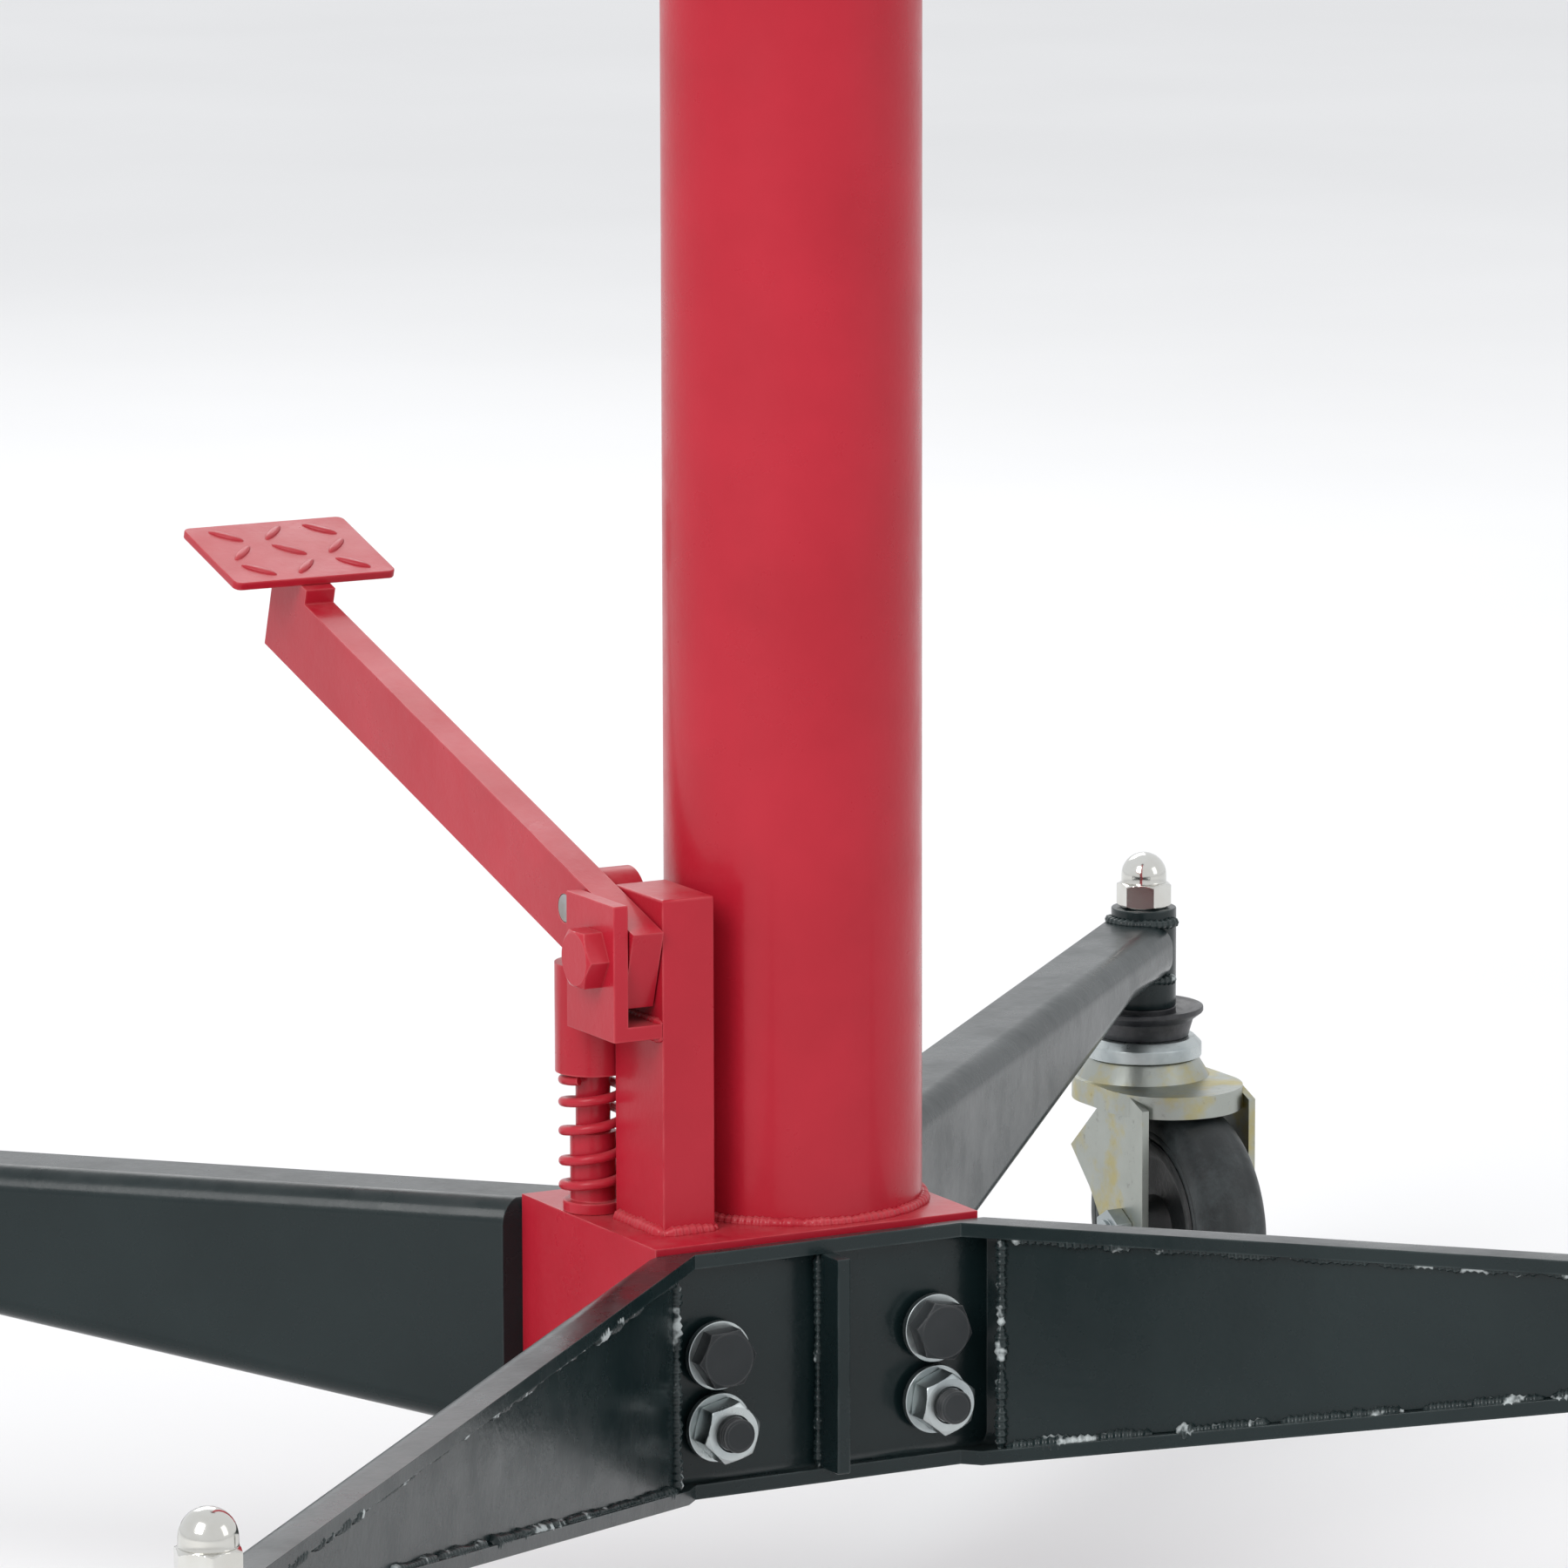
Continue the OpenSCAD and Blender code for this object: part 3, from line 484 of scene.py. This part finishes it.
def build_frame(node, side_y):
    depth = FRAME_DEPTH[node]
    tan_half = math.tan(math.radians(22.5))
    stations = []
    for side_x in (-1, 1):
        row = []
        for s in (LEG_END_S, LEVEL_S, 0.0, None):
            profile = channel_profile(depth, leg_height(s or 0.0))
            row.append([leg_point(-d * tan_half if s is None else s, d, z, side_x, side_y)
                        for d, z in profile])
        stations += row if side_x < 0 else row[::-1]
    obj = make_object(node + "_folded", grid_mesh(node, stations), "black_paint", "base")
    round_edges(obj, 0.7 * MM, weld=False)
    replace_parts(obj, node)


for node, side in FRAME_SIDES.items():
    build_frame(node, side)


def build_leg_welds(rng):
    """The rough beads that hold the side plates, the ribs and the sleeves."""
    parts = []
    recess = 3 * MM
    for node, side_y in FRAME_SIDES.items():
        d = FRAME_DEPTH[node] - recess + 0.3 * MM
        for side_x in (-1, 1):
            for z_of in (lambda s: -PLATE, lambda s: PLATE - leg_height(s)):
                s = 8 * MM
                while s < AXIS_S - 40 * MM:
                    run = rng.uniform(22, 60) * MM
                    stop = min(s + run, AXIS_S - 22 * MM)
                    path = [leg_point(v, d + rng.uniform(0, 0.5) * MM, z_of(v), side_x, side_y)
                            for v in steps_between(s, stop, 12 * MM)]
                    parts.append(bead(path, rng.uniform(1.5, 2.3) * MM, rng, ripple=0.35))
                    s = stop + rng.uniform(-1, 9) * MM
            root = [leg_point(6 * MM, d, z, side_x, side_y)
                    for z in steps_between(-PLATE, PLATE - FRAME_H, 12 * MM)]
            parts.append(bead(root, 1.8 * MM, rng, ripple=0.4))
        for side_x in (-1, 1):
            y = side_y * (WEB_Y + PLATE)
            path = [Vector((side_x * 2.8 * MM, y, z)) for z in
                    steps_between(FRAME_TOP - FRAME_H + PLATE, FRAME_TOP - PLATE, 12 * MM)]
            parts.append(bead(path, 1.4 * MM, rng, ripple=0.4))
    for sx in (-1, 1):
        for sy in (-1, 1):
            centre = (sx * AXIS, sy * AXIS)
            inward = math.degrees(math.atan2(-sy, -sx))
            ring = circle(centre, SLEEVE_R + 0.6 * MM, FRAME_TOP + 0.3 * MM, 24, inward - 88, inward + 88)
            parts.append(bead(ring, 2.0 * MM, rng, ripple=0.3))
            low = FRAME_TOP - TIP_H
            ring = circle(centre, SLEEVE_R + 0.6 * MM, low, 24, inward - 80, inward + 80)
            parts.append(bead(ring, 1.8 * MM, rng, ripple=0.3))
    # the weld beads take the black enamel with its painted glints
    make_object("frame_welds", join_meshes("frame_welds", parts), "black_paint", "base", 60, "black_weld_painted_glints")


build_leg_welds(random.Random(4))


# ---------- red welds and the block ----------

def build_red_welds(rng):
    parts = [bead(circle(COLUMN, COLUMN_R + 0.5 * MM, BLOCK_TOP + 0.4 * MM, 90), 2.1 * MM, rng, closed=True)]
    low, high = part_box("pump_post")
    z = BLOCK_TOP + 0.5 * MM
    parts.append(bead([(low.x, high.y, z), (low.x, low.y, z)], 2.9 * MM, rng))
    parts.append(bead([(low.x, low.y, z), (high.x, low.y, z)], 2.2 * MM, rng))
    parts.append(bead([(high.x, low.y, z), (high.x, high.y, z)], 2.2 * MM, rng))
    ear_low, ear_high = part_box("pump_bracket")
    for z in (ear_low.z - 0.2 * MM, ear_low.z + PLATE + 0.2 * MM):
        parts.append(bead([(low.x - 0.4 * MM, ear_low.y, z), (low.x - 0.4 * MM, ear_high.y, z)],
                          1.5 * MM, rng))
    gland_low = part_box("column_tube")[1].z
    gland_joint = circle(COLUMN, COLUMN_R + 0.4 * MM, gland_low - 0.3 * MM, 90)
    parts.append(bead(gland_joint, 1.7 * MM, rng, closed=True))
    make_object("column_and_post_welds", join_meshes("red_welds", parts), "red_paint", "base", 60)


build_red_welds(random.Random(7))


# ---------- nuts and bolts ----------

def axis_place(at, axis):
    """A placing that takes +Z to axis and the origin to at."""
    return Matrix.Translation(Vector(at)) @ Vector(axis).to_track_quat("Z", "Y").to_matrix().to_4x4()


def nut_profile(across, h, bore):
    """A nut's outline from its bore's edge to its bore's edge, with chamfered corners."""
    corner = across / 2 / math.cos(math.pi / 6)
    low = across / 2 * 0.97
    slope = (corner - low) * math.tan(math.radians(30))
    start = [(bore, 0.0), (low, 0.0)]
    rise = [(low + (corner - low) * k / 5, slope * k / 5) for k in range(1, 6)]
    fall = [(corner - (corner - low) * k / 5, h - slope + slope * k / 5) for k in range(6)]
    return start + rise + fall + [(bore + 0.6 * MM, h), (bore, h - 0.6 * MM)]


def head_profile(across, h):
    """A hexagon head's outline, flat at the bottom and chamfered on top."""
    corner = across / 2 / math.cos(math.pi / 6)
    low = across / 2 * 0.95
    slope = (corner - low) * math.tan(math.radians(30))
    fall = [(corner - (corner - low) * k / 5, h - slope + slope * k / 5) for k in range(6)]
    return [(0.0001, 0.0), (corner, 0.0)] + fall + [(0.0001, h)]


def stud_profile(r, length, pitch=1.75 * MM):
    """A threaded stud's outline, with ridges and a chamfered end."""
    out = [(0.0001, 0.0)]
    turns = int(length / pitch)
    for k in range(turns):
        z = k * pitch
        out += [(r, z + pitch * 0.1), (r - 0.75 * MM, z + pitch * 0.55)]
    return out + [(r, turns * pitch - 0.1 * MM), (r - 1.1 * MM, length), (0.0001, length)]


def acorn_profile(across, h):
    """A cap nut's outline: a chamfered hexagon, a groove and a dome."""
    corner = across / 2 / math.cos(math.pi / 6)
    low = across / 2 * 0.95
    slope = (corner - low) * math.tan(math.radians(30))
    hex_h = h * 0.46
    dome_r = across * 0.475
    straight = h - dome_r
    rise = [(low + (corner - low) * k / 5, slope * k / 5) for k in range(6)]
    fall = [(corner - (corner - low) * k / 5, hex_h - slope + slope * k / 5) for k in range(6)]
    neck = [(dome_r + 0.1 * MM, hex_h + 0.3 * MM), (dome_r, hex_h + 0.6 * MM), (dome_r, straight)]
    dome = [(dome_r * math.cos(math.radians(a)), straight + dome_r * math.sin(math.radians(a)))
            for a in range(9, 90, 9)]
    return [(0.0001, 0.0)] + rise + fall + neck + dome + [(0.0001, h)]


def build_acorn_nuts():
    low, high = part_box("acorn_nuts")
    parts = []
    for i, (sx, sy) in enumerate(((-1, -1), (1, -1), (-1, 1), (1, 1))):
        turn = Matrix.Rotation(math.radians(12 + 23 * i), 4, "Z")
        place = Matrix.Translation((sx * AXIS, sy * AXIS, low.z)) @ turn
        parts.append(lathe(acorn_profile(M12_ACROSS, high.z - low.z), place, 96, M12_ACROSS))
    obj = make_object("acorn_nuts_domed", join_meshes("acorn_nuts", parts), "chrome", "base", 28)
    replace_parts(obj, "acorn_nuts")


build_acorn_nuts()

BOLT_X = middle("frame_nuts").x + size("frame_nuts").x / 2 - M12_ACROSS / 2 / math.cos(math.pi / 6)
NUT_LOW, NUT_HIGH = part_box("frame_nuts")
NUT_Z = (NUT_LOW.z + 9.5 * MM, NUT_HIGH.z - 9.5 * MM)     # the lower and the upper row
WASHER_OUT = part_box("frame_washers")[1].y                 # outer face of a washer


def build_frame_fasteners(rng):
    """Through bolts: the upper row's heads are in front, the lower row's at the back."""
    nuts, bolts = [], []
    nut_h = NUT_HIGH.y - WASHER_OUT
    stud_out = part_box("frame_bolts")[1].y - WASHER_OUT
    head_h = 7 * MM
    for row, z in enumerate(NUT_Z):
        toward = -1 if row == 0 else 1                    # the nut's side along Y
        for sx in (-1, 1):
            turn = Matrix.Rotation(rng.uniform(0, math.pi / 3), 4, "Z")
            place = axis_place((sx * BOLT_X, toward * WASHER_OUT, z), (0, toward, 0)) @ turn
            nuts.append(lathe(nut_profile(M12_ACROSS, nut_h, 6 * MM), place, 96, M12_ACROSS))
            bolts.append(lathe(stud_profile(5.9 * MM, stud_out), place, 32))
            turn = Matrix.Rotation(rng.uniform(0, math.pi / 3), 4, "Z")
            place = axis_place((sx * BOLT_X, -toward * WASHER_OUT, z), (0, -toward, 0)) @ turn
            bolts.append(lathe(head_profile(M12_ACROSS, head_h), place, 96, M12_ACROSS))
    obj = make_object("frame_nuts_chamfered", join_meshes("frame_nuts", nuts), "zinc_plate", "base", 28)
    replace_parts(obj, "frame_nuts")
    obj = make_object("frame_bolts_hexagon", join_meshes("frame_bolts", bolts), "dark_bolt", "base", 28)
    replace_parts(obj, "frame_bolts")


build_frame_fasteners(random.Random(3))


def build_pivot_bolt():
    low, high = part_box("pivot_bolt")
    at = middle("pivot_bolt")
    ear_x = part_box("pump_bracket")[0].x
    outward = axis_place((ear_x, at.y, at.z), (-1, 0, 0))
    head = lathe(head_profile(M12_ACROSS, ear_x - low.x), outward, 96, M12_ACROSS)
    shank = lathe([(0.0001, 0.0), (6 * MM, 0.0), (6 * MM, high.x - ear_x), (0.0001, high.x - ear_x)],
                  axis_place((ear_x, at.y, at.z), (1, 0, 0)), 48)
    obj = make_object("pivot_bolt_hexagon", join_meshes("pivot_bolt", [head, shank]), "red_paint", "base", 28)
    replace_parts(obj, "pivot_bolt")


build_pivot_bolt()


# ---------- return spring ----------

def build_spring():
    low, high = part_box("return_spring")
    centre = (low + high) / 2
    wire = 1.7 * MM
    coil = (high.x - low.x) / 2 - wire
    turns = 4.6
    count = 360
    path = []
    for k in range(count + 1):
        t = k / count
        eased = t - 0.035 * math.sin(2 * math.pi * t)
        a = 2 * math.pi * turns * t
        z = low.z + wire + eased * (high.z - low.z - 2 * wire)
        path.append(Vector((centre.x + coil * math.cos(a), centre.y + coil * math.sin(a), z)))
    obj = make_object("return_spring_coil", sweep(path, lambda i: wire, 14), "red_paint", "base", 60)
    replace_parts(obj, "return_spring")
    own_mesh(obj)


build_spring()


# ---------- foot pad ----------

def pad_axes():
    """The pad's own directions: across it, along it and out of its top, and a point on its top."""
    tilt = math.radians(PEDAL_REST)
    along = Vector((0, math.cos(tilt), math.sin(tilt)))
    up = Vector((0, -math.sin(tilt), math.cos(tilt)))
    low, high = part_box("pedal_pad")
    centre = (low + high) / 2
    return Vector((1, 0, 0)), along, up, centre + up * 1.5 * MM


def build_pad_treads():
    """Raised tear-drop bars, in turn one way and the other, as on chequered plate."""
    across, along, up, top = pad_axes()
    long_r, wide_r, tall = 7.0 * MM, 1.7 * MM, 0.9 * MM
    step = 17 * MM
    parts = []
    for i in range(-1, 2):
        for j in range(-1, 2):
            u, v = i * step * 1.1, j * step * 0.85
            lean = 45 if (i + j) % 2 else -45
            a = math.radians(lean)
            span_x, span_y = 32 * MM - abs(u), 24 * MM - abs(v)
            reach = min(long_r, max(0.0, (min(span_x, span_y) - 1 * MM) / math.cos(a)))
            if reach < 3 * MM:
                continue
            lengthwise = across * math.cos(a) + along * math.sin(a)
            sidewise = along * math.cos(a) - across * math.sin(a)
            rings = []
            for scale, z in ((1.0, -0.3), (0.96, 0.35), (0.78, 0.8), (0.45, 1.0), (0.1, 1.03)):
                centre = top + across * u + along * v + up * (tall * z)
                turns = [2 * math.pi * k / 20 for k in range(20)]
                rings.append([centre + lengthwise * reach * scale * math.cos(turn)
                              + sidewise * wide_r * scale * math.sin(turn) for turn in turns])
            parts.append(grid_mesh("tread", rings))
    make_object("pedal_pad_treads", join_meshes("pad_treads", parts), "red_paint", "pedal", 60)


build_pad_treads()


# ---------- wheels ----------

def tyre_profile():
    """From the rim out over the tread and back: flat sides, round shoulders and a low crown."""
    half = TYRE_W / 2
    rim = 36 * MM
    shoulder = 8 * MM
    crown = 1.2 * MM
    side = [(rim, -half + 0.8 * MM), (rim + 1.2 * MM, -half), (rim + 3 * MM, -half),
            (rim + 3.6 * MM, -half + 0.5 * MM), (rim + 4.2 * MM, -half)]
    arc = [(WHEEL_R - crown - shoulder + shoulder * math.sin(math.radians(a)),
            -half + shoulder - shoulder * math.cos(math.radians(a))) for a in range(10, 91, 10)]
    flat = half - shoulder
    tread = [(WHEEL_R - crown * (v / flat) ** 2, v) for v in steps_between(-flat, -0.25 * MM, 1.4 * MM)[1:]]
    lower = side + arc + tread
    return lower + [(r, -v) for r, v in lower[::-1]]


def hub_profile(width, bore):
    """One hub, turned: a boss, a dished web and a rim, the same on both sides."""
    half = width / 2
    face = [(bore, -half), (9 * MM, -half), (10 * MM, -half + 0.8 * MM), (11 * MM, -half + 9 * MM),
            (13 * MM, -half + 12 * MM), (27 * MM, -half + 12.5 * MM), (30 * MM, -half + 11 * MM),
            (31.5 * MM, -half + 7.6 * MM), (33 * MM, -half + 7.0 * MM), (35.2 * MM, -half + 7.0 * MM),
            (36 * MM, -half + 7.8 * MM)]
    return face + [(r, -v) for r, v in face[::-1]] + [(bore, -half)]


def build_wheel(corner):
    centre = middle("tyre_" + corner)
    body = "wheel_" + corner
    place = axis_place(centre, (1, 0, 0))
    rings = tyre_profile()
    rings.append(rings[0])
    obj = make_object("tyre_%s_turned" % corner, lathe_loop(rings, place, 128), "tyre_rubber", body, 40)
    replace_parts(obj, "tyre_" + corner)
    hub = lathe_loop(hub_profile(size("hub_" + corner).x, 5.05 * MM), place, 96)
    obj = make_object("hub_%s_turned" % corner, hub, "wheel_hub", body, 40)
    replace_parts(obj, "hub_" + corner)


for corner in CORNERS:
    build_wheel(corner)


# ---------- the remaining CAD nodes: materials and rounded edges ----------

# Widths of the rounded edges, in millimetres
EDGE_WIDTH = {"base_block": 1.2, "column_tube": 0.6, "top_gland": 1.5, "pump_post": 0.9, "pump_bracket": 0.6,
              "pedal_arm": 0.8, "pedal_pad": 0.5, "plunger_head": 0.7, "saddle_plate": 0.8,
              "leg_side_plates": 0.5, "frame_ribs": 0.5, "frame_washers": 0.35, "caster_sleeves": 0.6,
              "release_handle": 0.5}
PLAIN_EDGE = 0.45


def dress_cad_nodes():
    replaced = {n for o in bpy.data.objects for n in o.get("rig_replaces", [])}
    for name, obj in frame["nodes"].items():
        obj.data.materials.clear()
        obj.data.materials.append(MATERIALS[NODE_SLOT[name]])
        if name in replaced:
            continue
        round_edges(obj, EDGE_WIDTH.get(name, PLAIN_EDGE) * MM)
        obj.data.polygons.foreach_set("use_smooth", [True] * len(obj.data.polygons))


dress_cad_nodes()


# ---------- floor, light and camera ----------

def build_floor():
    n, reach = 24, 30.0
    rings = [[Vector((x, y, 0.0)) for x in steps_between(-reach, reach, 2 * reach / n)]
             for y in steps_between(-reach, reach, 2 * reach / n)]
    mesh = grid_mesh("floor", rings, close_ring=False, cap=False)
    obj = bpy.data.objects.new("floor", mesh)
    bpy.context.scene.collection.objects.link(obj)
    m, t, shader, co = new_material("pale_floor")
    patches = spread(t, noise(t, co, 1.3), 0.3, 0.7)
    shade_of = blend_colour(t, patches, rgb(0.80, 0.80, 0.80), rgb(0.84, 0.84, 0.84))
    t.links.new(shade_of, shader.inputs["Base Color"])
    shader.inputs["Roughness"].default_value = 0.85
    mesh.materials.append(m)


def area_light(name, at, aim, width, height, power, tint=(1, 1, 1)):
    data = bpy.data.lights.new(name, "AREA")
    data.shape = "RECTANGLE"
    data.size, data.size_y = width, height
    data.energy = power
    data.color = tint
    obj = bpy.data.objects.new(name, data)
    obj.location = at
    obj.rotation_euler = (Vector(aim) - Vector(at)).to_track_quat("-Z", "Y").to_euler()
    bpy.context.scene.collection.objects.link(obj)


def build_light():
    world = bpy.data.worlds.new("studio")
    bpy.context.scene.world = world
    world.use_nodes = True
    world.node_tree.nodes["Background"].inputs["Color"].default_value = (0.97, 0.98, 1.0, 1.0)
    world.node_tree.nodes["Background"].inputs["Strength"].default_value = 0.95
    aim = (0.0, 0.0, 0.35)
    area_light("key", (-2.6, -1.4, 2.4), aim, 1.6, 2.2, 62.0)
    area_light("fill", (2.2, -2.6, 1.6), aim, 1.4, 2.0, 9.0)
    area_light("back", (0.8, 2.8, 2.2), aim, 2.0, 1.4, 22.0)
    bpy.context.scene.view_settings.view_transform = "Standard"


def build_camera():
    """The camera stands in front and to the left, with a long lens that looks down a little."""
    azimuth, distance, height = -28.156, 3.2364, 0.7217 + BLOCK_TOP
    yaw, pitch, roll = -0.221, -10.077, -0.127
    focal_per_frame = 6.1213
    a = math.radians(azimuth)
    heading, tip = math.radians(azimuth + yaw), math.radians(pitch)
    data = bpy.data.cameras.new("camera")
    data.sensor_width = 36.0
    data.lens = 36.0 * focal_per_frame
    data.clip_end = 50.0
    cam = bpy.data.objects.new("camera", data)
    cam.location = (math.sin(a) * distance, -math.cos(a) * distance, height)
    forward = Vector((-math.sin(heading) * math.cos(tip), math.cos(heading) * math.cos(tip), math.sin(tip)))
    turn = Matrix.Rotation(-math.radians(roll), 4, forward)
    cam.rotation_euler = (turn.to_3x3() @ forward.to_track_quat("-Z", "Y").to_matrix()).to_euler()
    bpy.context.scene.collection.objects.link(cam)
    bpy.context.scene.camera = cam


build_floor()
build_light()
build_camera()
